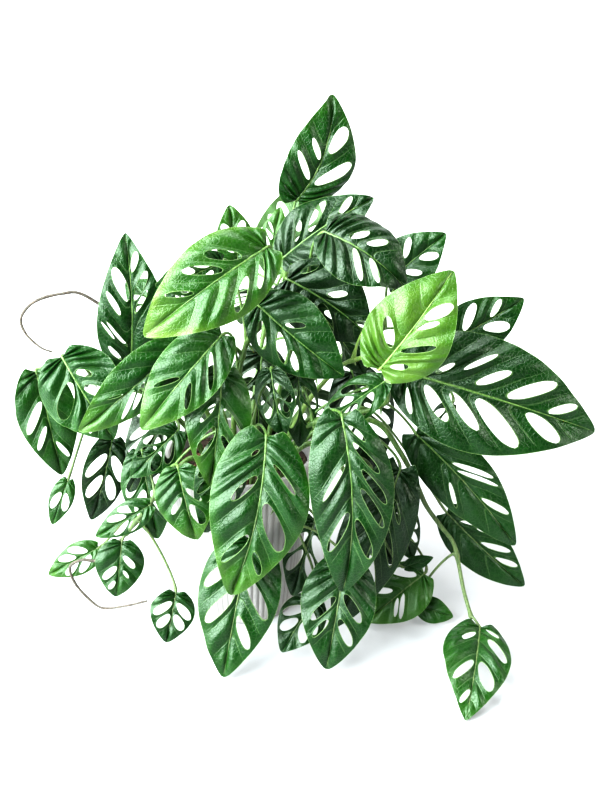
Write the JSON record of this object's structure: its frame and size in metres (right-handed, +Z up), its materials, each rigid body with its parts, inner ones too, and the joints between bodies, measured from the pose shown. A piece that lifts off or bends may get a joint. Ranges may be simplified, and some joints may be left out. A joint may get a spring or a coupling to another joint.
{
  "type": "monstera adansonii in a pot",
  "caption": "Bushy potted monstera adansonii with holed leaves on arching and trailing stems, in a tapered fluted pot.",
  "frame": {"origin": "middle of the pot's flat underside, on the surface it stands on", "axes": "+Z up, +X to the right and -Y towards the viewer of the plant's front"},
  "size_m": [0.4743, 0.318, 0.4447],
  "materials": {
    "pot": "matte off-white glaze with fine upright flutes",
    "soil": "dark crumbly potting mix with bits of bark",
    "foliage": "waxy deep green blade, puckered between its veins, paler along them",
    "foliage_lime": "waxy lime green young blade"
  },
  "bodies": {
    "root": {"pot": "pot", "soil": "soil", "vine_crown": "foliage", "vine_dusk": "foliage", "vine_pale": "foliage", "vine_lime": "foliage_lime", "vine_right_upper": "foliage", "vine_right": "foliage", "vine_trailing": "foliage", "vine_front_left": "foliage", "vine_front_right": "foliage", "vine_low_front": "foliage", "vine_low_right": "foliage", "vine_left_tall": "foliage", "vine_left_far": "foliage", "vine_left_low": "foliage", "vine_back_left": "foliage", "vine_back_middle": "foliage", "vine_back_right": "foliage"}
  },
  "joints": []
}
